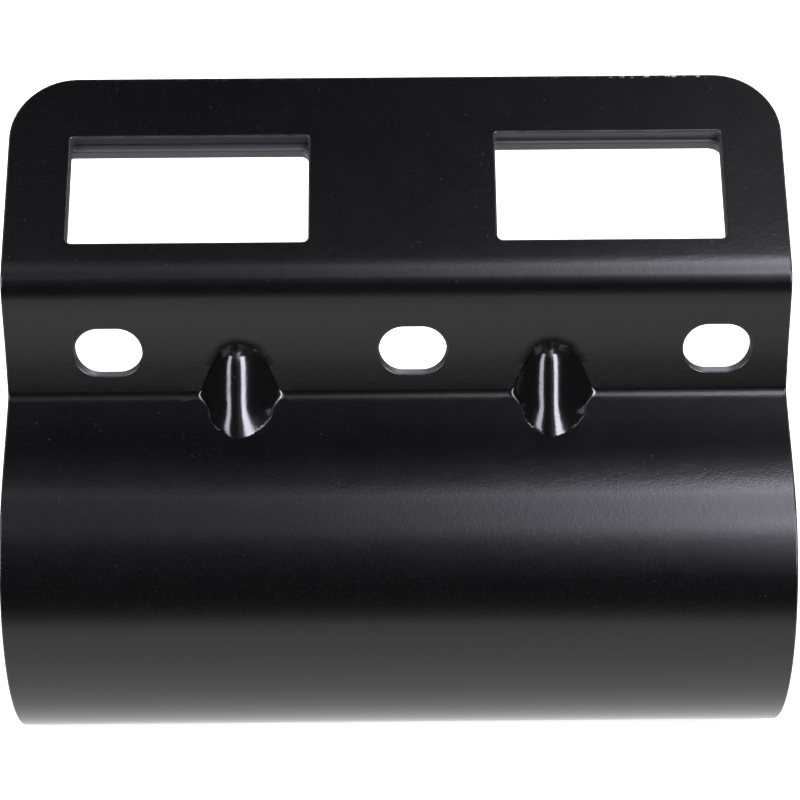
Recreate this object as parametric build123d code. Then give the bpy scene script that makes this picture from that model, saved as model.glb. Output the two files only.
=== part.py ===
from build123d import *
from math import acos, atan2, cos, degrees, hypot, radians, sin
import os

# Sheet-steel sleeve bracket. Two nested pressings make a double flange with a leaning top plate, and
# part round a tube below it. +X runs along the tube, +Z is up, -Y is the front, and the origin is the
# centre of the bore. Everything is in millimetres.

# Sheet and overall width
width = 150.0
sheet = 3.0

# Barrel round the tube
bore_radius = 31.0
barrel_radius = bore_radius + sheet

# Side profile of the front face of the front pressing, as (y, z)
flange_y = -9.5
plate_top = (20.15, 93.0)
plate_bend = (flange_y, 60.2)
crease = (flange_y, 37.6)
plate_bend_radius = 7.0
crease_radius = 2.0
barrel_meets_side = 44.0

# Back face of the rear pressing
rear_flange_y = flange_y + 2 * sheet
rear_crease = (rear_flange_y, crease[1])
rear_crease_radius = 3.0

# Outline of the top plate
plate_corner_radius = 13.0
window_from_top = 13.2
window_height = 22.4
window_corner_radius = 1.0
window_spans = {"left": (-63.0, -16.8), "right": (19.3, 62.6)}
rear_window_drop = {"left": 0.5, "right": -0.3}

# Bolt slots through the flange
slot_length = 13.0
slot_width = 9.5
slot_pitch = 58.3
slot_middle_x = 3.0
slot_z = 46.4
rear_slot_clearance = 1.3

# Gusset ribs pressed across the crease of the front pressing
rib_x = 30.0
rib_radius = 9.0
rib_axis_depth = 5.0
rib_above_crease = 11.0
rib_below_crease = 8.5
rib_hollow_overrun = 6.0

# Welds
seam_behind_bottom = 15.0
seam_root_gap = 1.8
seam_face_width = 5.6
seam_crown = 0.4
plug_diameter = 7.0
plug_crown = 0.4
flange_plug_xs = (-43.5, -13.0, 16.3, 46.0)
flange_plug_z = 47.5
plate_plug_xs = (-40.0, 1.2, 41.0)
plate_plug_from_top = 6.6

# Room that a cutting shape takes past the faces it cuts
overrun = 5.0


def on_circle(radius, elevation):
    """Point of a circle round the bore axis, at an elevation above the front horizontal."""
    angle = radians(elevation)
    return (-radius * cos(angle), radius * sin(angle))


def yz(point, x=0.0):
    """Place a (y, z) point of the side profile in space."""
    return Vector(x, point[0], point[1])


def plate_direction():
    """Unit vector in (y, z) from the plate bend up along the top plate."""
    rise = (plate_top[0] - plate_bend[0], plate_top[1] - plate_bend[1])
    length = hypot(*rise)
    return (rise[0] / length, rise[1] / length)


def plate_plane(from_top, depth=0.0, x=0.0):
    """Plane on the top plate, its local y up the slope and its normal pointing out of the front."""
    up = plate_direction()
    y = plate_top[0] - up[0] * from_top + up[1] * depth
    z = plate_top[1] - up[1] * from_top - up[0] * depth
    return Plane(origin=(x, y, z), x_dir=(1, 0, 0), z_dir=(0, -up[1], up[0]))


def shifted_profile(depth):
    """Top edge and bend corner of a face lying this far behind the front face, as (y, z)."""
    up = plate_direction()
    top = (plate_top[0] + up[1] * depth, plate_top[1] - up[0] * depth)
    y = flange_y + depth
    corner = (y, top[1] - (top[0] - y) * up[1] / up[0])
    return top, corner


def ribbon(wire, side):
    """Sheet of full width whose one face follows the wire and whose other face lies to a side."""
    outline = wire.offset_2d(sheet, side=side)
    return extrude(Face(outline), amount=width / 2, both=True)


def groove():
    """The V between the two pressings, open outwards, as a prism along the width."""
    outward = on_circle(1.0, -90 - seam_behind_bottom)
    across = (-outward[1], outward[0])
    flare = (seam_face_width - seam_root_gap) / 2 / sheet
    root = seam_root_gap / 2
    stations = [
        (bore_radius - overrun, root),
        (bore_radius, root),
        (barrel_radius + overrun, root + flare * (sheet + overrun)),
    ]
    corners = []
    for side, order in ((-1, stations), (1, stations[::-1])):
        for radius, half in order:
            y = outward[0] * radius + across[0] * half * side
            z = outward[1] * radius + across[1] * half * side
            corners.append(yz((y, z)))
    outline = Face(Wire(Polyline(*corners, close=True).edges()))
    return extrude(outline, amount=width / 2, both=True)


def front_profile():
    """Front face of the front pressing, from the top edge to past the seam."""
    side_start = on_circle(barrel_radius, barrel_meets_side)
    tangent = on_circle(1.0, barrel_meets_side + 90)
    bottom = on_circle(barrel_radius, -45)
    end = on_circle(barrel_radius, -90 - seam_behind_bottom)
    edges = [
        Edge.make_line(yz(plate_top), yz(plate_bend)),
        Edge.make_line(yz(plate_bend), yz(crease)),
        Edge.make_tangent_arc(yz(side_start), yz(tangent), yz(crease)),
        Edge.make_three_point_arc(yz(side_start), yz(bottom), yz(end)),
    ]
    return rounded(Wire(edges), {plate_bend: plate_bend_radius, crease: crease_radius})


def rear_profile():
    """Back face of the rear pressing, from the top edge to past the seam."""
    top, corner = shifted_profile(2 * sheet)
    reach = hypot(*rear_crease)
    lean = degrees(atan2(-rear_crease[0], rear_crease[1]))
    tangent_angle = 90 + degrees(acos(barrel_radius / reach)) - lean
    start = on_circle(barrel_radius, tangent_angle)
    back = on_circle(barrel_radius, 180)
    end = on_circle(barrel_radius, 270 - seam_behind_bottom)
    edges = [
        Edge.make_line(yz(top), yz(corner)),
        Edge.make_line(yz(corner), yz(rear_crease)),
        Edge.make_line(yz(rear_crease), yz(start)),
        Edge.make_three_point_arc(yz(start), yz(back), yz(end)),
    ]
    inner_bend_radius = plate_bend_radius - 2 * sheet
    return rounded(Wire(edges), {corner: inner_bend_radius, rear_crease: rear_crease_radius})


def rounded(wire, radii):
    """Round the corners of a side profile, given as {(y, z): radius}."""
    for corner, radius in radii.items():
        vertex = wire.vertices().sort_by_distance(yz(corner))[0]
        wire = wire.fillet_2d(radius, [vertex])
    return wire


def window_cutter(side, drop=0.0):
    """Prism through the top plate for one window."""
    low, high = window_spans[side]
    centre = window_from_top + window_height / 2 + drop
    outline = RectangleRounded(high - low, window_height, window_corner_radius)
    sketch = plate_plane(centre, x=(low + high) / 2) * outline
    return extrude(sketch, amount=2 * sheet + overrun, both=True)


def slot_cutters(clearance=0.0):
    """Prisms through the flange for the row of bolt slots, widened by a clearance all round."""
    outline = SlotOverall(slot_length + 2 * clearance, slot_width + 2 * clearance)
    cutters = []
    for place in (-1, 0, 1):
        centre = (slot_middle_x + place * slot_pitch, flange_y, slot_z)
        face = Plane(origin=centre, x_dir=(1, 0, 0), z_dir=(0, -1, 0))
        cutters.append(extrude(face * outline, amount=2 * sheet + overrun, both=True))
    return cutters


def corner_cutters():
    """Prisms that leave the two upper corners of the top plate round."""
    radius = plate_corner_radius
    cutters = []
    for side in (-1, 1):
        corner = Rectangle(2 * radius, 2 * radius)
        middle = plate_plane(radius, x=side * (width / 2 - radius))
        keep = Circle(radius) + Pos(-side * radius, 0) * Rectangle(2 * radius, 2 * radius)
        keep += Pos(0, -radius) * Rectangle(2 * radius, 2 * radius)
        cutters.append(extrude(middle * (corner - keep), amount=2 * sheet + overrun, both=True))
    return cutters


def rib_chord():
    """Ends of the rib's ridge on the flange and on the barrel side, as (y, z)."""
    side = on_circle(barrel_radius, barrel_meets_side)
    run = (side[0] - crease[0], side[1] - crease[1])
    share = rib_below_crease / hypot(*run)
    low = (crease[0] + run[0] * share, crease[1] + run[1] * share)
    high = (flange_y, crease[1] + rib_above_crease)
    return low, high


def rib_rod(x, radius):
    """Rod lying across the crease, whose front is the rib's ridge."""
    low, high = rib_chord()
    along = Vector(0, high[0] - low[0], high[1] - low[1]).normalized()
    inward = Vector(0, along.Z, -along.Y)
    start = yz(crease, x) + inward * rib_axis_depth
    length = rib_above_crease + rib_below_crease + 2 * rib_hollow_overrun
    plane = Plane(origin=start, z_dir=along)
    return extrude(plane * Circle(radius), amount=length / 2, both=True)


def in_front_of(shell_wire):
    """Everything in front of the back face of the front pressing, round the crease."""
    back_face = shell_wire.offset_2d(sheet, side=Side.RIGHT, closed=False)
    top = back_face.vertices().sort_by(Axis.Z)[-1]
    bottom = back_face.vertices().sort_by(Axis.Z)[0]
    far = -2 * barrel_radius
    closing = Polyline(Vector(top), yz((far, top.Z)), yz((far, bottom.Z)), Vector(bottom))
    outline = Wire(list(back_face.edges()) + list(closing.edges()))
    return extrude(Face(outline), amount=width / 2, both=True)


def front_shell():
    """Pressing seen from the front: top plate, flange, ribs and the front of the barrel."""
    profile = front_profile()
    shell = ribbon(profile, Side.RIGHT)
    room = in_front_of(profile)
    for x in (-rib_x, rib_x):
        hollow = rib_rod(x, rib_radius - sheet)
        skin = (rib_rod(x, rib_radius) - hollow) & room
        shell = shell - hollow + skin
    cutters = [window_cutter(side) for side in window_spans]
    return shell - cutters - corner_cutters() - slot_cutters() - groove()


def rear_shell():
    """Pressing behind it: the second ply of plate and flange, and the back of the barrel."""
    shell = ribbon(rear_profile(), Side.LEFT)
    cutters = [window_cutter(side, rear_window_drop[side]) for side in window_spans]
    shell = shell - cutters - corner_cutters() - slot_cutters(rear_slot_clearance)
    return shell - groove() - plug_prisms()


def seam_weld():
    """Bead that fills the groove along the bottom of the barrel."""
    disc = extrude(Plane.YZ * Circle(barrel_radius + seam_crown), amount=width / 2, both=True)
    bore = extrude(Plane.YZ * Circle(bore_radius), amount=width, both=True)
    return (groove() & disc) - bore


def plug_prisms(crown=0.0):
    """Round plugs through the rear ply, in the flange and in the top plate."""
    disc = Circle(plug_diameter / 2)
    plugs = []
    for x in flange_plug_xs:
        plane = Plane(origin=(x, flange_y + sheet, flange_plug_z), z_dir=(0, 1, 0))
        plugs.append(extrude(plane * disc, amount=sheet + crown))
    for x in plate_plug_xs:
        plane = plate_plane(plate_plug_from_top, sheet, x)
        plugs.append(extrude(plane * disc, amount=-(sheet + crown)))
    return plugs


def plug_welds():
    """Plug welds that hold the two plies together, slightly crowned at the back."""
    return Compound(children=plug_prisms(plug_crown))


os.makedirs("parts", exist_ok=True)
export_step(front_shell(), "parts/front_shell.step")
export_step(rear_shell(), "parts/rear_shell.step")
export_step(seam_weld(), "parts/seam_weld.step")
export_step(plug_welds(), "parts/plug_welds.step")
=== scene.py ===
import math

import bpy
import numpy as np
from mathutils import Matrix, Vector
from mathutils.geometry import delaunay_2d_cdt


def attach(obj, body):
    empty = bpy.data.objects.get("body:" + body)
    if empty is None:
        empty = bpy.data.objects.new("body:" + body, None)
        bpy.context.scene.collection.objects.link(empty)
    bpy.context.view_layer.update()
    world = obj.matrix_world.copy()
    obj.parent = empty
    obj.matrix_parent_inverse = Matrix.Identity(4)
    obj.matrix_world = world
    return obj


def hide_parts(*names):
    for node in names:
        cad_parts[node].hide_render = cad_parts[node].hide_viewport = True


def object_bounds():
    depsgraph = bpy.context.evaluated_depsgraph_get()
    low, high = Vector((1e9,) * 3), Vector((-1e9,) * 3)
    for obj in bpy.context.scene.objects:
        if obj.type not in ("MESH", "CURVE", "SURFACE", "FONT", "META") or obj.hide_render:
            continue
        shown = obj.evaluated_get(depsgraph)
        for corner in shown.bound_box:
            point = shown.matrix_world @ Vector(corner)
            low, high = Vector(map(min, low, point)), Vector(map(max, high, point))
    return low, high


# Sheet-steel sleeve bracket: two nested pressings, a seam weld and plug welds, all powder coated.
# Lengths below are in millimetres, in the CAD model's frame, and MM turns them into metres.

MM = 0.001

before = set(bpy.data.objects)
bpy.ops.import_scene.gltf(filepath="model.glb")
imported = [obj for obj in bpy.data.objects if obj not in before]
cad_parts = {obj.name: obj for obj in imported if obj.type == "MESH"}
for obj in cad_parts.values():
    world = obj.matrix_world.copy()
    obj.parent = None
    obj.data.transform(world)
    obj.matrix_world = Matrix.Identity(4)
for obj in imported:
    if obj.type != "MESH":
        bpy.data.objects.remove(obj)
cad_box = [list(corner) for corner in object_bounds()]

# ---------------------------------------------------------------- the sheet's measures

SHEET = 3.0
HALF_WIDTH = 75.0
BARREL_RADIUS = 34.0
PLATE_TOP = (20.15, 93.0)
PLATE_LEAN = 43.5
EDGE_ROUND = 0.4
# Radii of the sheets' corners, at the top and at the seam, and the steps round one.
CORNER_RADIUS = 13.0
FOOT_RADIUS = 0.6
CORNER_STEPS = 14

# Windows of each pressing: first and last x, distance from the top edge, height, corner radii
# (from the top left, clockwise).
FRONT_WINDOWS = [
    (-62.9, -16.8, 13.2, 22.8, (0.5, 0.5, 1.1, 1.1)),
    (19.3, 63.0, 12.8, 23.1, (0.5, 0.5, 1.1, 1.1)),
]
REAR_WINDOWS = [
    (-63.8, -16.8, 14.7, 21.9, (0.9, 1.8, 0.85, 0.85)),
    (19.3, 64.2, 13.5, 22.9, (0.6, 3.0, 0.85, 0.85)),
]

SLOT_LENGTH = 13.0
SLOT_WIDTH = 9.5
SLOT_PITCH = 58.3
SLOT_MIDDLE_X = 3.0
SLOT_Z = 46.4
# A slot's ends stop just short of half circles, so that none of its sides has no length.
SLOT_END_FLAT = 0.001
SLOT_CORNER_STEPS = 12
REAR_SLOT_CLEARANCE = 1.3

RIB_CENTRES = (-30.2, 29.85)
SEAM_BEHIND_BOTTOM = 15.0
# Groove of the seam weld: half its width at the bore, its width at the outer face, and its
# flare per mm of sheet. The sheets' faces are drawn back to it over the last GROOVE_REACH mm,
# and in full over the last GROOVE_FULL mm.
ROOT_HALF_GAP = 0.9
GROOVE_MOUTH = 5.6
GROOVE_FLARE = (GROOVE_MOUTH - 2 * ROOT_HALF_GAP) / 2 / SHEET
GROOVE_REACH = 5.0
GROOVE_FULL = EDGE_ROUND + 0.1
ROOT_ANGLE = math.degrees(ROOT_HALF_GAP / (BARREL_RADIUS - SHEET))

# Plug welds: radius, crown over the face, depth below it, dip in the middle, share of the crown
# that is lost at the rim, ripples on top, and places in the flange and the plate.
PLUG_RADIUS = 3.5
PLUG_CROWN = 0.4
PLUG_DEPTH = 1.0
PLUG_DIP = 0.1
PLUG_FALL = 0.75
PLUG_RIPPLE = 0.035
PLUG_RIPPLE_TURN = 5.0
PLUG_RINGS = (0.7, 1.3, 1.9, 2.4, 2.85, 3.2, 3.4, PLUG_RADIUS)
PLUG_STEPS = 36
FLANGE_PLUG_XS = (-43.5, -13.0, 16.3, 46.0)
FLANGE_PLUG_Z = 47.5
PLATE_PLUG_XS = (-40.0, 1.2, 41.0)
PLATE_PLUG_FROM_TOP = 6.6

# How finely the sheets' faces are divided: least and greatest distance between rows, the turn
# in degrees from row to row, and the number of columns, which start a little inside the edges.
FINEST_ROW, COARSEST_ROW, ROW_TURN = 0.18, 3.0, 2.0
COLUMNS = 61
COLUMN_MARGIN = 1.0
# Least distance of a point of a face from the outlines, and how near to a hole's edge a point
# counts as on it.
SPOT_CLEARANCE = 0.22
ON_OUTLINE = 0.02
# Steps over which directions on the sheet are measured: along its face, and in from its edge.
FACE_PROBE = 0.03
EDGE_PROBE = 0.05
# Steps in a quarter of the rounded edge, the sharpest mitre of an outline's corner, as a cosine,
# and the distances within which points are merged, and within which they lie on an outline.
EDGE_STEPS = 4
LEAST_MITRE = 0.5
MERGE_WITHIN = 1e-4
OUTLINE_TOLERANCE = 1e-5


# ---------------------------------------------------------------- side profiles

class Profile:
    """A side profile as the elevation of its outward normal against distance along it.

    facing is -1 where the outward side is the front (-Y) and +1 where it is the back.
    """

    # Distance between the stored points, and over which the elevation jumps where it does.
    STEP = 0.02
    JUMP = 1e-4

    def __init__(self, start, facing, spans):
        """spans are (length, first elevation, last elevation), joined end to end."""
        self.facing = facing
        marks, angles = [0.0], [spans[0][1]]
        for length, first, last in spans:
            if first != angles[-1]:
                marks.append(marks[-1] + self.JUMP)
                angles.append(first)
            marks.append(marks[-1] + length)
            angles.append(last)
        self.length = marks[-1]
        self.s = np.linspace(0.0, self.length, int(self.length / self.STEP) + 2)
        self.angle = np.radians(np.interp(self.s, marks, angles))
        middle = (self.angle[1:] + self.angle[:-1]) / 2
        ds = np.diff(self.s)
        self.y = start[0] + np.concatenate([[0], np.cumsum(facing * np.sin(middle) * ds)])
        self.z = start[1] + np.concatenate([[0], np.cumsum(-np.cos(middle) * ds)])

    def at(self, s):
        """Points (y, z) and the outward normals' (y, z) at distances s."""
        y, z = np.interp(s, self.s, self.y), np.interp(s, self.s, self.z)
        angle = np.interp(s, self.s, self.angle)
        return y, z, self.facing * np.cos(angle), np.sin(angle)

    def distance_at_height(self, z, low, high):
        """Distance where the profile passes a height, looked for between two distances."""
        stretch = (self.s >= low) & (self.s <= high)
        return float(np.interp(-z, -self.z[stretch], self.s[stretch]))


def span_vector(facing, length, first, last):
    """Displacement along a span whose normal turns evenly from one elevation to another."""
    turn = np.radians(np.linspace(first, last, 201))
    y, z = facing * np.sin(turn), -np.cos(turn)
    weights = np.ones(len(turn))
    weights[[0, -1]] = 0.5
    return length * np.array([(y * weights).sum(), (z * weights).sum()]) / weights.sum()


def closed_profile(start, facing, spans, barrel_from, barrel_to):
    """Profile down to the barrel and round it, and its spans.

    Two of the given spans have None for their length, which is found so that they end on the
    barrel's circle.
    """
    radians = math.radians(barrel_from)
    end = np.array([facing * math.cos(radians), math.sin(radians)]) * BARREL_RADIUS
    known = sum(span_vector(facing, n, a, b) for n, a, b in spans if n is not None)
    loose = [span_vector(facing, 1.0, a, b) for n, a, b in spans if n is None]
    lengths = list(np.linalg.solve(np.array(loose).T, end - np.array(start) - known))
    full = [(lengths.pop(0) if n is None else n, a, b) for n, a, b in spans]
    turn = math.radians(barrel_from - barrel_to)
    full.append((BARREL_RADIUS * turn, barrel_from, barrel_to))
    return Profile(start, facing, full), full


# Spans of the front face: (length, first elevation, last elevation), in mm and degrees. The rear
# pressing turns the other way, with longer or shorter bends and its own crease.
PLATE_FLAT = 38.1
BEND = [
    (1.30, PLATE_LEAN, 42.9), (1.20, 42.9, 41.2), (0.90, 41.2, 39.8), (0.50, 39.8, 38.0),
    (0.66, 38.0, 34.0), (0.62, 34.0, 28.8), (0.61, 28.8, 23.0), (0.60, 23.0, 17.5),
    (1.20, 17.5, 7.5), (0.61, 7.5, 3.3), (0.62, 3.3, 0.0), (0.62, 0.0, -2.8),
    (1.04, -2.8, -4.4),
]
FLANGE = [(3.0, -4.4, -4.4), (4.0, -4.4, -3.5), (3.3, -3.5, -2.0), (3.0, -2.0, 0.0)]
FLANGE_FOOT = 1.6
CREASE_ARC = 1.8
SIDE = [
    (1.9, 46.3, 46.3), (3.5, 46.3, 47.5), (3.4, 47.5, 49.7), (1.7, 49.7, 49.6), (4.6, 49.6, 45.7),
]
BARREL_FROM = 43.5
REAR_CREASE_ARC = 3.75
REAR_SADDLE = 69.5


def front_profile():
    """Front face of the front pressing, from the top edge to the seam."""
    spans = [(PLATE_FLAT, PLATE_LEAN, PLATE_LEAN), *BEND, *FLANGE]
    spans += [(None, FLANGE[-1][2], FLANGE_FOOT), (CREASE_ARC, FLANGE_FOOT, SIDE[0][1]), *SIDE]
    spans += [(None, SIDE[-1][2], BARREL_FROM)]
    seam = -90.0 - SEAM_BEHIND_BOTTOM + ROOT_ANGLE
    return closed_profile(PLATE_TOP, -1, spans, BARREL_FROM, seam)


def rear_profile():
    """Back face of the rear pressing, from the top edge to the seam."""
    depth = 2 * SHEET
    lean = math.radians(PLATE_LEAN)
    start = (PLATE_TOP[0] + depth * math.cos(lean), PLATE_TOP[1] - depth * math.sin(lean))
    spans = [(PLATE_FLAT, -PLATE_LEAN, -PLATE_LEAN)]
    for length, first, last in BEND + FLANGE:
        spans.append((length - depth * math.radians(first - last), -first, -last))
    spans += [(None, -FLANGE[-1][2], -FLANGE_FOOT), (REAR_CREASE_ARC, -FLANGE_FOOT, REAR_SADDLE)]
    spans += [(None, REAR_SADDLE, REAR_SADDLE)]
    seam = -90.0 + SEAM_BEHIND_BOTTOM + ROOT_ANGLE
    return closed_profile(start, 1, spans, REAR_SADDLE, seam)


# ---------------------------------------------------------------- outlines in the flat sheet

def rounded_rectangle(x0, x1, s0, s1, radii, corner_steps=8):
    """Closed loop of (x, s) points with a radius at (x0,s0), (x1,s0), (x1,s1), (x0,s1)."""
    corners = [
        (x0 + radii[0], s0 + radii[0], 180),
        (x1 - radii[1], s0 + radii[1], 270),
        (x1 - radii[2], s1 - radii[2], 0),
        (x0 + radii[3], s1 - radii[3], 90),
    ]
    loop = []
    for (cx, cs, first), radius in zip(corners, radii):
        for k in range(corner_steps + 1):
            a = math.radians(first + 90 * k / corner_steps)
            loop.append((cx + radius * math.cos(a), cs + radius * math.sin(a)))
    return np.array(loop)


def resampled(loop, step_x, step_s):
    """The loop with long runs divided, so that no piece runs further than the steps."""
    points = []
    for a, b in zip(loop, np.roll(loop, -1, axis=0)):
        low, high = min(a[1], b[1]), max(a[1], b[1])
        marks = [low]
        if high - low > step_s((a[1] + b[1]) / 2) / 2:
            while marks[-1] < high:
                marks.append(marks[-1] + step_s(marks[-1]))
        if len(marks) > 2:
            marks[-1] = high
            if b[1] < a[1]:
                marks = marks[::-1]
            shares = (np.array(marks) - a[1]) / (b[1] - a[1])
            points += [a + (b - a) * share for share in shares[:-1]]
        else:
            n = max(1, math.ceil(abs(b[0] - a[0]) / step_x))
            points += [a + (b - a) * k / n for k in range(n)]
    return np.array(points)


def inward(loop):
    """Unit normals of a loop, to its left: into the sheet on an outline, out of a hole."""
    ahead = np.roll(loop, -1, axis=0) - loop
    ahead /= np.linalg.norm(ahead, axis=1)[:, None]
    before = np.roll(ahead, 1, axis=0)
    normal = np.stack([-(ahead + before)[:, 1], (ahead + before)[:, 0]], axis=1)
    normal /= np.linalg.norm(normal, axis=1)[:, None]
    cosine = (normal * np.stack([-ahead[:, 1], ahead[:, 0]], axis=1)).sum(1)
    return normal / np.maximum(cosine, LEAST_MITRE)[:, None]


def inside(loop, points):
    """Which points lie inside a closed loop."""
    found = np.zeros(len(points), bool)
    x, y = points[:, 0], points[:, 1]
    for (x0, y0), (x1, y1) in zip(loop, np.roll(loop, -1, axis=0)):
        if y0 == y1:
            continue
        crosses = (y0 > y) != (y1 > y)
        found ^= crosses & (x < (x1 - x0) * (y - y0) / (y1 - y0) + x0)
    return found


def clear_of(loops, points, gap):
    """Which points are further than a gap from every loop."""
    keep = np.ones(len(points), bool)
    for loop in loops:
        for a, b in zip(loop, np.roll(loop, -1, axis=0)):
            run = b - a
            share = np.clip(((points - a) @ run) / max(run @ run, 1e-12), 0, 1)
            keep &= np.hypot(*(points - a - share[:, None] * run).T) > gap
    return keep


# ---------------------------------------------------------------- gusset ribs

# Where the flange's front face and the crease lie, about which the ribs are built. The ridges
# lean back from the upright, and reach this far above and below the crease.
FLANGE_PLANE_Y, CREASE_Z = -9.5, 37.6
RIB_LEAN = math.radians(20.0)
RIB_ABOVE, RIB_BELOW = 12.0, 11.5
# How far the ridges are pushed to one side, the range of their flanks' slope, and the least
# height that the slope is worked out for.
RIDGE_SHIFT = 0.62
LEAST_SLOPE, GREATEST_SLOPE = 0.75, 3.0
LEAST_HEIGHT = 0.02
# The ribs' outline is sharp below the first of these heights and above the second. Points lower
# on the rib than LIP count as outside it.
SHARP_OUTSIDE = (32.6, 40.8)
LIP = 0.1
# Heights of the flange beside the domes, where turned normals stand for a soft fillet: how far it
# reaches up from a dome, and its greatest turn.
DOMES_ABOVE, DOMES_BELOW = 43.5, 50.5
FILLET_REACH = 2.2
FILLET_TURN = math.radians(11.0)
# Grid of points over a rib: the distance between its rows, the margin beyond its ends, half the
# width that it takes from the face's own grid, its columns as shares of the rib's half width,
# and the least half width for which they are spread.
RIB_ROW = 0.16
RIB_MARGIN = 0.6
RIB_GRID_HALF = 9.6
RIB_COLUMNS = [*np.linspace(0, 0.88, 12), 0.93, 0.97, 1.0, 1.03, 1.07, 1.13, 1.22]
RIB_LEAST_SPREAD = 2.0
# Columns beside the domes, from this far above the crease: the first, as a share of the half
# width, then where they end and the distance between them.
DOME_BEGINS = 6.5
BESIDE_DOME = (1.3, 7.0, 0.4)

# Rows of (distance from the crease, radius of the ridge), upward negative.
RIDGE_RADIUS_ROWS = np.array([(-12.0, 4.6), (2.0, 4.6), (4.5, 5.0), (6.5, 6.2), (12.0, 7.0)])
# Rows of (distance from the crease, half width, valley blend) down a rib, upward negative.
RIB_ROWS = np.array([
    (-12.0, 0.50, 0.05), (-10.8, 1.60, 0.05), (-10.2, 2.45, 0.05), (-9.2, 3.49, 0.05),
    (-8.0, 4.37, 0.05), (-7.2, 4.88, 0.05), (-6.0, 5.52, 0.05), (-4.0, 6.40, 0.05),
    (-2.0, 7.10, 0.06), (-1.0, 7.42, 0.16), (-0.5, 7.56, 0.60), (0.0, 7.62, 0.85),
    (0.6, 7.38, 0.66), (1.2, 7.00, 0.38), (1.8, 6.60, 0.26), (2.4, 6.25, 0.22),
    (3.0, 6.08, 0.20), (4.0, 5.96, 0.18), (5.0, 5.85, 0.14), (6.0, 5.70, 0.11),
    (7.0, 5.30, 0.08), (7.8, 4.70, 0.05), (8.6, 3.60, 0.04), (9.6, 1.60, 0.04),
    (11.5, 0.50, 0.04),
])
# Rows of (distance along the lean from the crease, height of the ridge above the crease).
RIDGE_ROWS = np.array([
    (-12.0, 2.51), (-9.96, 3.53), (-8.1, 4.46), (-7.6, 4.64), (-7.1, 4.75), (-6.6, 4.80),
    (-6.0, 4.81), (-4.0, 4.74), (0.0, 4.54), (4.0, 4.44), (6.2, 4.40), (8.3, 4.34), (12.0, 4.0),
])


def smooth_table(rows, column, spread, step=0.05):
    """Fine table of one column of rows, with its corners rounded over a distance."""
    at = np.arange(rows[0, 0], rows[-1, 0], step)
    values = np.interp(at, rows[:, 0], rows[:, column])
    reach = int(3 * spread / step)
    weights = np.exp(-((np.arange(-reach, reach + 1) * step / spread) ** 2) / 2)
    padded = np.pad(values, reach, mode="edge")
    return at, np.convolve(padded, weights / weights.sum(), mode="valid")


RIDGE = smooth_table(RIDGE_ROWS, column=1, spread=0.35)
RIDGE_RADIUS = smooth_table(RIDGE_RADIUS_ROWS, column=1, spread=0.35)
RIB_HALF = smooth_table(RIB_ROWS, column=1, spread=0.25)
RIB_BLEND = smooth_table(RIB_ROWS, column=2, spread=0.3)


def rib_height(profile, s):
    """How far the ridge of a rib stands out of a profile along the normal of the lean."""
    outward = np.array([-math.cos(RIB_LEAN), math.sin(RIB_LEAN)])
    down = np.array([-math.sin(RIB_LEAN), -math.cos(RIB_LEAN)])
    y, z, _, _ = profile.at(s)
    from_corner = np.stack([y - FLANGE_PLANE_Y, z - CREASE_Z], axis=-1)
    return np.interp(from_corner @ down, *RIDGE) - from_corner @ outward


def flank_slopes(profile, crease_s):
    """Slope of the rib's flanks down its length: the one that meets the face at its edge."""
    at = np.arange(-RIB_ABOVE, RIB_BELOW, 0.1)
    height = np.maximum(rib_height(profile, crease_s + at), LEAST_HEIGHT)
    half = np.interp(at, *RIB_HALF)
    low, high = np.full(len(at), LEAST_SLOPE), np.full(len(at), GREATEST_SLOPE)
    # The range is halved until it closes on the slope, down the whole rib at once.
    for _ in range(40):
        slope = (low + high) / 2
        bend = np.interp(at, *RIDGE_RADIUS) * slope ** 2
        short = np.sqrt((slope * half) ** 2 + bend ** 2) - bend < height
        low, high = np.where(short, slope, low), np.where(short, high, slope)
    return at, slope


def rib_rise(profile, crease_s, slopes, x, s):
    """How far the ribs stand out of the front face along the normal of their lean."""
    distance = s - crease_s
    height = rib_height(profile, s)
    half, blend = np.interp(distance, *RIB_HALF), np.interp(distance, *RIB_BLEND)
    slope = np.interp(distance, *slopes)
    bend = np.interp(distance, *RIDGE_RADIUS) * slope ** 2
    within = (distance > -RIB_ABOVE) & (distance < RIB_BELOW)
    rise = np.zeros(np.broadcast(x, s).shape)
    for centre in RIB_CENTRES:
        across = (x - centre) / half
        across = (across + RIDGE_SHIFT / half * np.maximum(1 - across ** 2, 0)) * half
        gap = height - (np.sqrt((slope * across) ** 2 + bend ** 2) - bend)
        joined = np.where(gap > blend, gap, (gap + blend) ** 2 / (4 * blend))
        rise = rise + np.where(within & (gap > -blend), joined, 0.0)
    return rise


# ---------------------------------------------------------------- sheet meshes

def triangulated(loops, spots):
    """Points and triangles between the first loop and the rest, all wound the same way."""
    given = np.concatenate(loops + [spots])
    edges, base = [], 0
    for loop in loops:
        n = len(loop)
        edges += [(base + k, base + (k + 1) % n) for k in range(n)]
        base += n
    result = delaunay_2d_cdt([Vector(p) for p in given], edges, [], 0, OUTLINE_TOLERANCE, True)
    flat = np.array([list(p) for p in result[0]])
    for k, origins in enumerate(result[3]):
        if origins:
            flat[k] = given[origins[0]]
    triangles = np.array([list(f) for f in result[2]])
    middles = flat[triangles].mean(1)
    keep = inside(loops[0], middles)
    for loop in loops[1:]:
        keep &= ~inside(loop, middles)
    triangles = triangles[keep]
    a, b, c = flat[triangles[:, 0]], flat[triangles[:, 1]], flat[triangles[:, 2]]
    area = (b[:, 0] - a[:, 0]) * (c[:, 1] - a[:, 1]) - (b[:, 1] - a[:, 1]) * (c[:, 0] - a[:, 0])
    flip = area < 0
    triangles[flip] = triangles[flip][:, ::-1]
    used = np.unique(triangles)
    index = np.full(len(flat), -1)
    index[used] = np.arange(len(used))
    return flat[used], index[triangles]


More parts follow.
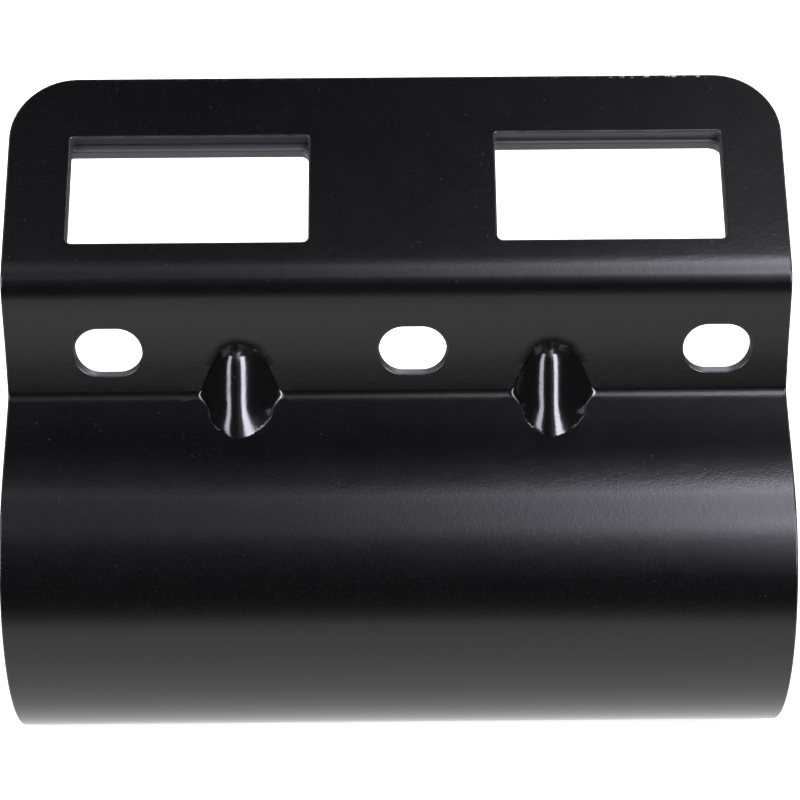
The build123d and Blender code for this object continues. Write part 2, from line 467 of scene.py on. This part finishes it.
def edge_stations():
    """Round a sheet's edge: distance in from it, depth below the face, turn from the face."""
    arc = [math.radians(90 * k / EDGE_STEPS) for k in range(EDGE_STEPS + 1)]
    stations = [(EDGE_ROUND * (1 - math.sin(a)), EDGE_ROUND * (1 - math.cos(a)), a) for a in arc]
    return stations + [(i, SHEET - d, math.pi - a) for i, d, a in stations[::-1]]


def sheet_mesh(name, profile, outline, holes, spots, step_s, rise=None):
    """Mesh of one pressing: both faces, and a rounded edge round its outline and its holes.

    spots are the inner points of its faces, step_s gives the greatest step along the profile
    at a distance, and rise gives how far the ribs stand out at (x, distance).
    """

    def place(points, depth):
        """Points in space at (x, distance) on the face, or at a depth below it."""
        reach = (points[:, 1] - profile.length + GROOVE_REACH) / (GROOVE_REACH - GROOVE_FULL)
        back = GROOVE_FLARE * (SHEET - depth) * BARREL_RADIUS / (BARREL_RADIUS - depth)
        y, z, ny, nz = profile.at(points[:, 1] - back * np.clip(reach, 0, 1))
        lift = 0.0 if rise is None else rise(points[:, 0], points[:, 1])
        y = y - lift * math.cos(RIB_LEAN) - depth * ny
        z = z + lift * math.sin(RIB_LEAN) - depth * nz
        return np.stack([points[:, 0], y, z], axis=1)

    def face_normal(points, depth):
        across, down = [FACE_PROBE, 0], [0, FACE_PROBE]
        dx = place(points + across, depth) - place(points - across, depth)
        ds = place(points + down, depth) - place(points - down, depth)
        normal = np.cross(ds, dx) * -profile.facing
        return normal / np.linalg.norm(normal, axis=1)[:, None]

    loops = [resampled(loop, COARSEST_ROW, step_s) for loop in [outline, *holes]]
    normals = [inward(loop) for loop in loops]
    inset = [loop + n * EDGE_ROUND for loop, n in zip(loops, normals)]

    spots = spots[inside(inset[0], spots)]
    for loop in inset[1:]:
        spots = spots[~inside(loop, spots)]
    spots = spots[clear_of(inset, spots, SPOT_CLEARANCE)]
    flat, triangles = triangulated(inset, spots)

    front, back = place(flat, 0.0), place(flat, SHEET)
    front_n = face_normal(flat, 0.0)
    back_n = -face_normal(flat, SHEET)
    count = len(flat)
    positions, vertex_normals = [front, back], [front_n, back_n]
    # Painted light: share of the lighter grey on the walls of cuts. On the rear pressing it also
    # covers the border round its holes of the face that lies against the front pressing.
    edges_worn, walls_painted_light_and_rough = [np.zeros(2 * count)], [np.zeros(2 * count)]
    if profile.facing > 0:
        walls_painted_light_and_rough[0][count:][~clear_of(inset[1:], flat, ON_OUTLINE)] = 1.0
    winding = 1 if profile.facing > 0 else -1
    faces = [tuple(int(i) for i in t[::winding]) for t in triangles]
    faces += [tuple(int(i) + count for i in t[::-winding]) for t in triangles]

    total = 2 * count
    for loop, normal in zip(loops, normals):
        n = len(loop)
        rings = []
        for distance, depth, angle in edge_stations():
            here = place(loop + normal * distance, depth)
            outward = place(loop, depth) - place(loop + normal * EDGE_PROBE, depth)
            outward /= np.linalg.norm(outward, axis=1)[:, None]
            surface = face_normal(loop + normal * distance, depth)
            positions.append(here)
            vertex_normals.append(surface * math.cos(angle) + outward * math.sin(angle))
            edges_worn.append(np.full(n, abs(math.sin(2 * angle))))
            # Painted light fills the half of the rear pressing's rounded edge that faces the front
            # pressing, where the plies meet in shade, and the middle of every other rounded edge.
            between_plies = profile.facing > 0 and angle >= math.pi / 2
            walls_painted_light_and_rough.append(np.full(n, 1.0 if between_plies else math.sin(angle) ** 4))
            rings.append(total)
            total += n
        for low, high in zip(rings, rings[1:]):
            for k in range(n):
                m = (k + 1) % n
                quad = (low + k, low + m, high + m, high + k)
                faces.append(quad[::-winding])
    positions = np.concatenate(positions)
    vertex_normals = np.concatenate(vertex_normals)
    # edge is rubbed wear on the rounded edges; the other measure is painted light on the walls of
    # cuts, which also makes them rougher.
    measures = {"edge": np.concatenate(edges_worn), "wall_painted_light_and_rough": np.concatenate(walls_painted_light_and_rough)}
    proud = np.zeros(len(positions), bool)
    if rise is not None:
        proud[:count], vertex_normals[:count] = round_ribs(
            profile, flat, rise(flat[:, 0], flat[:, 1]), front[:, 2], front_n,
        )
    return make_mesh(name, positions, faces, vertex_normals, measures, proud)


def round_ribs(profile, flat, lift, height, normals):
    """Which points of the front face are on a rib, and the face's normals beside the ribs.

    Beside a rib the normals are the plain face's own, so that its outline stays a clean line,
    and over a dome they turn as a fillet's would.
    """
    on_rib = lift > LIP
    _, _, ny, nz = profile.at(flat[:, 1])
    none = np.zeros(len(flat))
    plain, up_face = np.stack([none, ny, nz], axis=1), np.stack([none, nz, -ny], axis=1)
    normals = normals.copy()
    lips = (lift > 0) & ~on_rib & is_sharp(height)
    normals[lips] = plain[lips]
    crown = ~on_rib & (height > DOMES_ABOVE) & (height < DOMES_BELOW)
    turned = fillet_turn(flat[crown], flat[on_rib & (height > DOMES_ABOVE)])[:, None]
    normals[crown] = plain[crown] * np.cos(turned) + up_face[crown] * np.sin(turned)
    return on_rib, normals


def fillet_turn(points, proud, batch=500):
    """How far the fillet over the domes turns the face, at points of the flat sheet.

    proud are the domes' own points. The turn is greatest straight above them.
    """
    turn = np.zeros(len(points))
    for start in range(0, len(points), batch):
        offset = points[start:start + batch, None] - proud[None]
        distance = np.linalg.norm(offset, axis=2)
        nearest = distance.argmin(1)
        rows = np.arange(len(nearest))
        distance, up = distance[rows, nearest], -offset[rows, nearest, 1]
        share = np.clip(up / np.maximum(distance, 1e-6), 0, 1)
        turn[start:start + batch] = share * np.clip(1 - distance / FILLET_REACH, 0, 1) ** 2
    return FILLET_TURN * turn


def is_sharp(z):
    """Whether the ribs' outline is sharp at heights."""
    return (z < SHARP_OUTSIDE[0]) | (z > SHARP_OUTSIDE[1])


def make_mesh(name, positions, faces, normals, measures, proud):
    """Object with its doubled points merged, the given normals, and measures as attributes.

    proud marks the points on a rib: where the ribs' outline is sharp, the faces between them
    and the rest take the rib's normals.
    """
    keys = np.round(positions / MERGE_WITHIN).astype(np.int64)
    _, first, index = np.unique(keys, axis=0, return_index=True, return_inverse=True)
    index = index.reshape(-1)
    mesh = bpy.data.meshes.new(name)
    kept = []
    for face in faces:
        ids = [int(index[i]) for i in face]
        ids = [i for k, i in enumerate(ids) if i != ids[k - 1]]
        if len(set(ids)) > 2:
            kept.append(ids)
    summed = np.zeros((len(first), 3))
    np.add.at(summed, index, normals)
    summed /= np.maximum(np.linalg.norm(summed, axis=1), 1e-9)[:, None]
    points = positions[first]
    sharp = is_sharp(points[:, 2])
    mesh.from_pydata([tuple(p) for p in points * MM], [], kept)
    mesh.validate()
    for polygon in mesh.polygons:
        polygon.use_smooth = True
    proud = proud[first]
    corners = []
    for polygon in mesh.polygons:
        ids = list(polygon.vertices)
        above = [i for i in ids if proud[i]]
        turned = summed[ids]
        if above and len(above) < len(ids) and sharp[above[0]]:
            mean = summed[above].mean(0)
            turned[~proud[ids]] = mean / np.linalg.norm(mean)
        corners += [tuple(n) for n in turned]
    mesh.normals_split_custom_set(corners)
    for key, values in measures.items():
        made = mesh.attributes.new(key, "FLOAT", "POINT")
        made.data.foreach_set("value", values[first].astype(np.float32))
    piece = bpy.data.objects.new(name, mesh)
    bpy.context.scene.collection.objects.link(piece)
    return piece


def grid(xs, ss):
    """Points (x, s) of a grid, row by row."""
    a, b = np.meshgrid(xs, ss)
    return np.stack([a.ravel(), b.ravel()], axis=1)


def face_rows(profile):
    """Distances of a face's rows, closer where the profile turns, and the step beside any."""
    bend = np.abs(np.gradient(np.degrees(profile.angle), profile.s))
    rate = np.clip(bend / ROW_TURN, 1 / COARSEST_ROW, 1 / FINEST_ROW)
    count = np.concatenate([[0], np.cumsum((rate[1:] + rate[:-1]) / 2 * np.diff(profile.s))])
    first, last = np.interp([EDGE_ROUND, profile.length - EDGE_ROUND], profile.s, count)
    rows = np.interp(np.linspace(first, last, int(last - first) + 2), count, profile.s)

    def step(s):
        return float(np.clip(np.interp(s, rows[:-1], np.diff(rows)), FINEST_ROW, COARSEST_ROW))

    return rows, step


def face_columns():
    """Places x of a face's columns."""
    reach = HALF_WIDTH - COLUMN_MARGIN
    return np.linspace(-reach, reach, COLUMNS)


FRONT, FRONT_SPANS = front_profile()
REAR, REAR_SPANS = rear_profile()


def flange_ends(spans):
    """Distances of the flange's two ends along a profile."""
    before = 1 + len(BEND)
    start = sum(span[0] for span in spans[:before])
    return start, start + sum(span[0] for span in spans[before:before + len(FLANGE) + 1])


front_flange, rear_flange = flange_ends(FRONT_SPANS), flange_ends(REAR_SPANS)
crease_s = front_flange[1] + CREASE_ARC / 2
front_slot_s = FRONT.distance_at_height(SLOT_Z, *front_flange)
rear_slot_s = REAR.distance_at_height(SLOT_Z, *rear_flange)


def outline_and_holes(profile, slot_s, windows, clearance):
    """Outer loop, and the loops of the windows and the slots, in the flat sheet."""
    radii = (CORNER_RADIUS, CORNER_RADIUS, FOOT_RADIUS, FOOT_RADIUS)
    outer = rounded_rectangle(-HALF_WIDTH, HALF_WIDTH, 0.0, profile.length, radii, CORNER_STEPS)
    holes = []
    for low, high, top, height, window_radii in windows:
        loop = rounded_rectangle(low, high, top, top + height, window_radii)
        holes.append(loop[::-1])
    half_length = SLOT_LENGTH / 2 + clearance
    half_width = SLOT_WIDTH / 2 + clearance
    end_radius = half_width - SLOT_END_FLAT
    for number in (-1, 0, 1):
        x = SLOT_MIDDLE_X + number * SLOT_PITCH
        loop = rounded_rectangle(
            x - half_length, x + half_length, slot_s - half_width, slot_s + half_width,
            (end_radius,) * 4, SLOT_CORNER_STEPS,
        )
        holes.append(loop[::-1])
    return outer, holes


def rib_grid(centre, low, high):
    """Points over one rib between two distances, spread with its width."""
    columns = np.concatenate([-np.array(RIB_COLUMNS[:0:-1]), RIB_COLUMNS])
    share, end, gap = BESIDE_DOME
    points = []
    for s in np.arange(low, high, RIB_ROW):
        half = max(float(np.interp(s - crease_s, *RIB_HALF)), RIB_LEAST_SPREAD)
        x = columns * half
        if s < crease_s - DOME_BEGINS:
            beside = np.arange(share * half, end, gap)
            x = np.concatenate([-beside, x, beside])
        points.append(np.stack([centre + x, np.full(len(x), s)], axis=1))
    return np.concatenate(points)


def build_front():
    """The front pressing, with its ribs."""
    outer, holes = outline_and_holes(FRONT, front_slot_s, FRONT_WINDOWS, 0.0)
    rows, step = face_rows(FRONT)
    slopes = flank_slopes(FRONT, crease_s)
    spots = grid(face_columns(), rows)
    low, high = crease_s - RIB_ABOVE - RIB_MARGIN, crease_s + RIB_BELOW + RIB_MARGIN
    level = (spots[:, 1] > low) & (spots[:, 1] < high)
    near = np.zeros(len(spots), bool)
    for centre in RIB_CENTRES:
        near |= level & (np.abs(spots[:, 0] - centre) < RIB_GRID_HALF)
    ribs = [rib_grid(centre, low, high) for centre in RIB_CENTRES]
    spots = np.concatenate([spots[~near], *ribs])
    return sheet_mesh(
        "front_shell_skin", FRONT, outer, holes, spots, step,
        rise=lambda x, s: rib_rise(FRONT, crease_s, slopes, x, s),
    )


def build_rear():
    """The rear pressing, whose slots are a little larger."""
    outer, holes = outline_and_holes(REAR, rear_slot_s, REAR_WINDOWS, REAR_SLOT_CLEARANCE)
    rows, step = face_rows(REAR)
    spots = grid(face_columns(), rows)
    return sheet_mesh("rear_shell_skin", REAR, outer, holes, spots, step)


def build_plugs():
    """The plug welds, crowned on the back face of the rear pressing and sunk into it."""
    places = [(x, REAR.distance_at_height(FLANGE_PLUG_Z, *rear_flange)) for x in FLANGE_PLUG_XS]
    places += [(x, PLATE_PLUG_FROM_TOP) for x in PLATE_PLUG_XS]
    turn = np.linspace(0, 2 * math.pi, PLUG_STEPS, endpoint=False)
    points, faces, smooth = [], [], []
    for number, (x, s) in enumerate(places):
        base = len(points)
        flat = [(0.0, 0.0, PLUG_CROWN - PLUG_DIP)]
        for r in PLUG_RINGS:
            dome = PLUG_CROWN * (1 - PLUG_FALL * (r / PLUG_RADIUS) ** 4)
            ripple = PLUG_RIPPLE * np.sin(PLUG_RIPPLE_TURN * r + turn + number)
            height = np.minimum(dome + ripple, PLUG_CROWN)
            flat += list(zip(r * np.cos(turn), r * np.sin(turn), height))
        flat += [(a, b, -PLUG_DEPTH) for a, b, _ in flat[-len(turn):]] + [(0.0, 0.0, -PLUG_DEPTH)]
        flat = np.array(flat)
        y, z, ny, nz = REAR.at(s + flat[:, 1])
        placed = np.stack([x + flat[:, 0], y + flat[:, 2] * ny, z + flat[:, 2] * nz], axis=1)
        points += [tuple(p) for p in placed * MM]
        count, last = len(turn), base + len(flat) - 1
        for k in range(count):
            m = (k + 1) % count
            faces.append((base, base + 1 + k, base + 1 + m))
            smooth.append(True)
            for ring in range(len(PLUG_RINGS)):
                low, high = base + 1 + ring * count, base + 1 + (ring + 1) * count
                faces.append((low + k, high + k, high + m, low + m))
                smooth.append(ring < len(PLUG_RINGS) - 1)
            under = last - count
            faces.append((under + m, under + k, last))
            smooth.append(False)
    mesh = bpy.data.meshes.new("plug_welds_beads")
    mesh.from_pydata(points, [], faces)
    mesh.polygons.foreach_set("use_smooth", smooth)
    if mesh.polygons[0].normal.dot(Vector((0.0, 1.0, 0.0))) < 0:
        mesh.flip_normals()
    piece = bpy.data.objects.new("plug_welds_beads", mesh)
    bpy.context.scene.collection.objects.link(piece)
    return piece


# ---------------------------------------------------------------- materials

# Colours of the coat: the powder itself, the film of dust and the grain that veil it, loose
# dust, rubbed edges, the primer where the coat has chipped, and painted light: a lighter grey on
# the walls and ledges of cuts that stands in for the light they catch.
COAT_BLACK = (0.0004, 0.0004, 0.0005)
FILM_GREY = (0.0012, 0.0012, 0.0013)
GRAIN_GREY = (0.0042, 0.0042, 0.0044)
DUST_GREY = (0.07, 0.07, 0.072)
RUBBED_GREY = (0.03, 0.03, 0.031)
# Painted light on the walls and ledges of cuts, in place of the light they catch.
PAINTED_CUT_LIGHT_GREY = (0.035, 0.035, 0.036)
CHIP_GREY = (0.24, 0.24, 0.235)
# How much rougher than the rest the chips, the rubbed edges and the cuts are.
CHIP_ROUGHER, RUBBED_ROUGHER, CUT_ROUGHER = 0.35, 0.12, 0.25
# Patterns in the coat: waves per mm, detail and roughness of the noise, the range that is taken
# from it, and the range that it is mapped onto.
PATTERNS = {
    "specks": (1.3, 3.0, 0.6, (0.70, 0.74), (0.0, 1.0)),
    "dusty areas": (0.035, 2.0, 0.5, (0.45, 0.65), (0.35, 1.0)),
    "film": (0.09, 4.0, 0.6, (0.35, 0.75), (0.0, 1.0)),
    "flakes": (0.9, 4.0, 0.65, (0.555, 0.61), (0.0, 1.0)),
    "rubs": (0.4, 4.0, 0.65, (0.38, 0.62), (0.25, 1.0)),
    "grain": (2.2, 2.0, 0.5, (0.35, 0.65), (0.0, 0.4)),
    "cloudy sheen": (0.16, 3.0, 0.6, (0.3, 0.7), (0.137, 0.163)),
    "fine sheen": (1.1, 2.0, 0.5, (0.2, 0.8), (-0.015, 0.015)),
}
# Bumps, one on top of the other: height in mm and waves per mm of orange peel, sand and grain.
BUMPS = ((0.006, 0.45), (0.005, 1.0), (0.008, 2.6))
# Dust settles by how far a face looks up, and some of it clings to every face. Chips are on the
# top edge between two heights and thin out between two places along it, in mm.
DUST_FACING, DUST_CLINGING, DUST_COVER = (0.1, 0.7), 0.15, 0.8
CHIP_HEIGHTS, CHIP_PLACES, CHIPS_ELSEWHERE = (92.35, 92.7), (30, 50), 0.05


def add_node(tree, kind, **settings):
    """New shader node with its settings, and with inputs given as links or values."""
    made = tree.nodes.new(kind)
    for key, value in settings.items():
        if hasattr(made, key):
            setattr(made, key, value)
            continue
        socket = made.inputs[key]
        if isinstance(value, bpy.types.NodeSocket):
            tree.links.new(value, socket)
        else:
            socket.default_value = value
    return made


def noise(tree, at, per_mm, detail=2.0, roughness=0.5):
    """Noise from 0 to 1, with about per_mm waves to the millimetre."""
    return add_node(
        tree, "ShaderNodeTexNoise",
        Vector=at, Scale=per_mm / MM, Detail=detail, Roughness=roughness,
    ).outputs["Fac"]


def between(tree, value, taken, given=(0.0, 1.0)):
    """A value mapped from one range onto another, and kept inside it."""
    made = add_node(tree, "ShaderNodeMapRange", Value=value)
    made.clamp = True
    for name, number in zip(("From Min", "From Max", "To Min", "To Max"), (*taken, *given)):
        made.inputs[name].default_value = number
    return made.outputs["Result"]


def pattern(tree, at, name):
    """One of the PATTERNS."""
    per_mm, detail, roughness, taken, given = PATTERNS[name]
    return between(tree, noise(tree, at, per_mm, detail, roughness), taken, given)


def times(tree, a, b):
    """Product of a link and a link or number."""
    made = add_node(tree, "ShaderNodeMath", operation="MULTIPLY")
    tree.links.new(a, made.inputs[0])
    if isinstance(b, bpy.types.NodeSocket):
        tree.links.new(b, made.inputs[1])
    else:
        made.inputs[1].default_value = b
    return made.outputs["Value"]


def plus(tree, base, value, share=1.0):
    """A link plus a share of another."""
    made = add_node(tree, "ShaderNodeMath", operation="MULTIPLY_ADD")
    tree.links.new(value, made.inputs[0])
    made.inputs[1].default_value = share
    tree.links.new(base, made.inputs[2])
    return made.outputs["Value"]


def blend(tree, amount, below, above):
    """Colour between two, each a link or a grey."""
    made = tree.nodes.new("ShaderNodeMix")
    made.data_type = "RGBA"
    tree.links.new(amount, made.inputs["Factor"])
    for name, value in (("A", below), ("B", above)):
        socket = next(i for i in made.inputs if i.name == name and i.type == "RGBA")
        if isinstance(value, bpy.types.NodeSocket):
            tree.links.new(value, socket)
        else:
            socket.default_value = (*value, 1)
    return next(o for o in made.outputs if o.type == "RGBA")


def measure(tree, name):
    """One of the measures that make_mesh puts on a mesh."""
    made = tree.nodes.new("ShaderNodeAttribute")
    made.attribute_name = name
    return made.outputs["Fac"]


def settled_dust(tree, at):
    """Where loose dust lies, and where a film of it does."""
    facing = tree.nodes.new("ShaderNodeNewGeometry").outputs["Normal"]
    parts = add_node(tree, "ShaderNodeSeparateXYZ", Vector=facing)
    settled = between(tree, parts.outputs["Z"], DUST_FACING, (DUST_CLINGING, 1.0))
    specks = times(tree, pattern(tree, at, "specks"), pattern(tree, at, "dusty areas"))
    return times(tree, specks, settled), times(tree, pattern(tree, at, "film"), settled)


def chipped(tree, at):
    """Where the coat has chipped off the top edge."""
    parts = add_node(tree, "ShaderNodeSeparateXYZ", Vector=at)
    top = between(tree, parts.outputs["Z"], [z * MM for z in CHIP_HEIGHTS])
    along = between(tree, parts.outputs["X"], [x * MM for x in CHIP_PLACES], (CHIPS_ELSEWHERE, 1.0))
    return times(tree, times(tree, top, along), pattern(tree, at, "flakes"))


def bumps(tree, at):
    """Normal of the coat's surface, with its BUMPS."""
    normal = None
    for height, per_mm in BUMPS:
        relief = noise(tree, at, per_mm, 1.0)
        bump = add_node(
            tree, "ShaderNodeBump", Strength=1.0, Distance=height * MM, Height=relief,
        )
        if normal is not None:
            tree.links.new(normal, bump.inputs["Normal"])
        normal = bump.outputs["Normal"]
    return normal


def powder_coat():
    """Satin black powder coat: orange peel, cloudy sheen, dust, chips on the top edge, and painted
    light on the walls of cuts.
    """
    material = bpy.data.materials.new("satin_black_powder_coat")
    material.use_nodes = True
    tree = material.node_tree
    shader = tree.nodes["Principled BSDF"]
    at = tree.nodes.new("ShaderNodeTexCoord").outputs["Object"]
    dust, film = settled_dust(tree, at)
    chips = chipped(tree, at)
    rubbed = times(tree, measure(tree, "edge"), pattern(tree, at, "rubs"))
    # Painted light on the walls of cuts, which also makes them rougher.
    cut_painted_light_and_rough = measure(tree, "wall_painted_light_and_rough")

    colour = blend(tree, film, COAT_BLACK, FILM_GREY)
    colour = blend(tree, pattern(tree, at, "grain"), colour, GRAIN_GREY)
    colour = blend(tree, times(tree, dust, DUST_COVER), colour, DUST_GREY)
    colour = blend(tree, rubbed, colour, RUBBED_GREY)
    # Painted light: the walls of cuts in a lighter grey.
    colour = blend(tree, cut_painted_light_and_rough, colour, PAINTED_CUT_LIGHT_GREY)
    colour = blend(tree, chips, colour, CHIP_GREY)
    tree.links.new(colour, shader.inputs["Base Color"])

    rough = plus(tree, pattern(tree, at, "cloudy sheen"), pattern(tree, at, "fine sheen"))
    rough = plus(tree, rough, chips, CHIP_ROUGHER)
    rough = plus(tree, rough, rubbed, RUBBED_ROUGHER)
    rough = plus(tree, rough, cut_painted_light_and_rough, CUT_ROUGHER)
    tree.links.new(rough, shader.inputs["Roughness"])

    tree.links.new(bumps(tree, at), shader.inputs["Normal"])
    shader.inputs["IOR"].default_value = 1.5
    return material


coat = powder_coat()
front_skin = build_front()
rear_skin = build_rear()
plugs = build_plugs()
for piece, node in ((front_skin, "front_shell"), (rear_skin, "rear_shell"), (plugs, "plug_welds")):
    piece.data.materials.append(coat)
    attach(piece, "root")
    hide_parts(node)
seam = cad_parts["seam_weld"]
seam.data.materials.clear()
seam.data.materials.append(coat)


# ---------------------------------------------------------------- stage, camera and light

# The floor: half its length, its front and back edges in metres, the paper's colour, and the
# light of its own that lifts it to white for the camera.
FLOOR_HALF = 1.2
FLOOR_FRONT, FLOOR_BACK = -0.60, 1.2
PAPER = 0.8
FLOOR_LIFT = 0.75


def ray_mix(tree, ray, otherwise, seen):
    """Shader that is one thing to a kind of ray and another to the rest."""
    path = tree.nodes.new("ShaderNodeLightPath")
    mix = tree.nodes.new("ShaderNodeMixShader")
    tree.links.new(path.outputs[ray], mix.inputs["Fac"])
    tree.links.new(otherwise, mix.inputs[1])
    tree.links.new(seen, mix.inputs[2])
    return mix.outputs["Shader"]


def floor_material():
    """White paper: its own shade and shadow, lifted to white, and clear to reflections."""
    material = bpy.data.materials.new("floor_paper")
    material.use_nodes = True
    tree = material.node_tree
    tree.nodes.clear()
    paper = tree.nodes.new("ShaderNodeBsdfDiffuse")
    paper.inputs["Color"].default_value = (PAPER, PAPER, PAPER, 1)
    lift = tree.nodes.new("ShaderNodeEmission")
    lift.inputs["Strength"].default_value = FLOOR_LIFT
    both = tree.nodes.new("ShaderNodeAddShader")
    tree.links.new(paper.outputs["BSDF"], both.inputs[0])
    tree.links.new(lift.outputs["Emission"], both.inputs[1])
    clear = tree.nodes.new("ShaderNodeBsdfTransparent")
    shader = ray_mix(tree, "Is Camera Ray", paper.outputs["BSDF"], both.outputs["Shader"])
    shader = ray_mix(tree, "Is Glossy Ray", shader, clear.outputs["BSDF"])
    output = tree.nodes.new("ShaderNodeOutputMaterial")
    tree.links.new(shader, output.inputs["Surface"])
    return material


def build_floor():
    """Flat floor at the foot of the barrel."""
    z = cad_box[0][2]
    corners = [
        (-FLOOR_HALF, FLOOR_FRONT, z), (FLOOR_HALF, FLOOR_FRONT, z),
        (FLOOR_HALF, FLOOR_BACK, z), (-FLOOR_HALF, FLOOR_BACK, z),
    ]
    mesh = bpy.data.meshes.new("floor")
    mesh.from_pydata(corners, [], [(0, 1, 2, 3)])
    piece = bpy.data.objects.new("floor", mesh)
    bpy.context.scene.collection.objects.link(piece)
    piece.data.materials.append(floor_material())


build_floor()

# The camera: its place in mm, how far it looks down, turns right and rolls, in radians, its lens
# and sensor in mm, and the nearest that it sees, in metres.
CAMERA_AT = (-0.992, -432.189, 194.482)
PITCH, YAW, ROLL = 0.3581, 0.0035, -0.0069
LENS, SENSOR = 105.34, 36.0
NEAREST = 0.01

camera = bpy.data.objects.new("camera", bpy.data.cameras.new("camera"))
bpy.context.scene.collection.objects.link(camera)
bpy.context.scene.camera = camera
ahead = Vector((
    math.sin(YAW) * math.cos(PITCH), math.cos(YAW) * math.cos(PITCH), -math.sin(PITCH),
))
level = Vector((math.cos(YAW), -math.sin(YAW), 0))
upward = level.cross(ahead)
right = level * math.cos(ROLL) + upward * math.sin(ROLL)
up = upward * math.cos(ROLL) - level * math.sin(ROLL)
camera.matrix_world = Matrix((
    (right.x, up.x, -ahead.x, CAMERA_AT[0] * MM),
    (right.y, up.y, -ahead.y, CAMERA_AT[1] * MM),
    (right.z, up.z, -ahead.z, CAMERA_AT[2] * MM),
    (0, 0, 0, 1),
))
camera.data.sensor_width = SENSOR
camera.data.lens = LENS
camera.data.clip_start = NEAREST

# The lights, in metres: how far they stand from the point that they aim at, and its height.
LIGHT_DISTANCE = 2.2
AIM_HEIGHT = 0.03
LIGHT_COLOUR = (1.0, 0.98, 1.13)
# Grey of the world as a light, apart from what reflections see.
AMBIENT = 0.3
# Name, azimuth, elevation, angle across, angle upright (all in degrees), and radiance.
LIGHTS = (
    ("strip_right", 29, 25, 15, 34, 20.0),
    ("strip_left", -39, 25, 15, 34, 11.5),
    ("side_right", 90, 42, 30, 30, 1.5),
    ("side_left", -90, 42, 30, 30, 0.7),
    ("soft_back", 150, 45, 50, 36, 4.0),
    ("soft_behind", -140, 40, 40, 30, 2.0),
)


def area_light(name, azimuth, elevation, across, upright, radiance):
    """Softbox by its middle's azimuth from the front, elevation and angular size, in degrees."""
    a, e = math.radians(azimuth), math.radians(elevation)
    away = Vector((math.sin(a) * math.cos(e), -math.cos(a) * math.cos(e), math.sin(e)))
    data = bpy.data.lights.new(name, "AREA")
    data.shape = "RECTANGLE"
    data.size = 2 * LIGHT_DISTANCE * math.tan(math.radians(across / 2))
    data.size_y = 2 * LIGHT_DISTANCE * math.tan(math.radians(upright / 2))
    data.energy = radiance * math.pi * data.size * data.size_y
    data.color = LIGHT_COLOUR
    lamp = bpy.data.objects.new(name, data)
    bpy.context.scene.collection.objects.link(lamp)
    lamp.location = away * LIGHT_DISTANCE + Vector((0, 0, AIM_HEIGHT))
    lamp.rotation_euler = (-away).to_track_quat("-Z", "Y").to_euler()


for light in LIGHTS:
    area_light(*light)

# Elevation and grey of what reflections see: white paper below, a dark room above.
SURROUND = [
    (-90, 1.3), (-66, 1.3), (-50, 1.2), (-34, 1.1), (-26, 0.95), (-18, 0.30), (-10, 0.09),
    (0, 0.07), (50, 0.06), (60, 0.10), (70, 0.13), (72, 0.05), (90, 0.05),
]
# The long softbox overhead, as the product of two ramps: by how far to the right a
# reflection points (-1 to 1), and by its elevation in degrees.
SOFTBOX_ACROSS = [
    (-0.5, 0.05), (-0.3, 0.22), (-0.15, 0.37), (-0.07, 0.40), (-0.035, 0.52), (0.0, 0.80),
    (0.05, 1.38), (0.107, 2.60), (0.155, 4.6), (0.20, 5.6), (0.25, 3.0), (0.30, 0.3), (0.40, 0.05),
]
SOFTBOX_UPRIGHT = [
    (6, 0.0), (15, 0.06), (22, 0.14), (28, 0.25), (32, 0.40), (36, 0.72), (40, 0.93), (48, 1.0),
    (60, 1.12), (62.7, 2.05), (64.0, 1.1), (65.1, 0.13), (68, 0.07), (72, 0.05), (80, 0.02),
]


def ramp(tree, value, rows):
    """Grey by a value from -1 to 1, from rows of (value, grey)."""
    scale = tree.nodes.new("ShaderNodeMapRange")
    scale.inputs["From Min"].default_value = -1.0
    scale.inputs["From Max"].default_value = 1.0
    tree.links.new(value, scale.inputs["Value"])
    made = tree.nodes.new("ShaderNodeValToRGB")
    tree.links.new(scale.outputs["Result"], made.inputs["Fac"])
    stops = made.color_ramp.elements
    while len(stops) < len(rows):
        stops.new(0.5)
    for stop, (at, grey) in zip(stops, sorted(rows)):
        stop.position = (at + 1) / 2
        stop.color = (grey, grey, grey, 1)
    return made.outputs["Color"]


def surround(tree):
    """Background for reflections: the room by elevation, and the softbox overhead."""
    direction = tree.nodes.new("ShaderNodeTexCoord").outputs["Generated"]
    parts = tree.nodes.new("ShaderNodeSeparateXYZ")
    tree.links.new(direction, parts.inputs["Vector"])

    def by_elevation(rows):
        return ramp(tree, parts.outputs["Z"], [(math.sin(math.radians(e)), g) for e, g in rows])

    tint = tree.nodes.new("ShaderNodeVectorMath")
    tint.operation = "MULTIPLY"
    tint.inputs[1].default_value = LIGHT_COLOUR
    tree.links.new(ramp(tree, parts.outputs["X"], SOFTBOX_ACROSS), tint.inputs[0])
    total = tree.nodes.new("ShaderNodeVectorMath")
    total.operation = "MULTIPLY_ADD"
    tree.links.new(tint.outputs["Vector"], total.inputs[0])
    tree.links.new(by_elevation(SOFTBOX_UPRIGHT), total.inputs[1])
    tree.links.new(by_elevation(SURROUND), total.inputs[2])
    return total.outputs["Vector"]


def background(tree, colour=None, grey=1.0):
    """World shader of a linked colour or a grey."""
    shade = tree.nodes.new("ShaderNodeBackground")
    shade.inputs["Color"].default_value = (grey, grey, grey, 1)
    if colour is not None:
        tree.links.new(colour, shade.inputs["Color"])
    return shade.outputs["Background"]


world = bpy.data.worlds.new("studio")
bpy.context.scene.world = world
world.use_nodes = True
tree = world.node_tree
tree.nodes.clear()
sky = ray_mix(
    tree, "Is Glossy Ray", background(tree, grey=AMBIENT), background(tree, surround(tree)),
)
sky = ray_mix(tree, "Is Camera Ray", sky, background(tree))
tree.links.new(sky, tree.nodes.new("ShaderNodeOutputWorld").inputs["Surface"])

bpy.context.scene.view_settings.view_transform = "Standard"
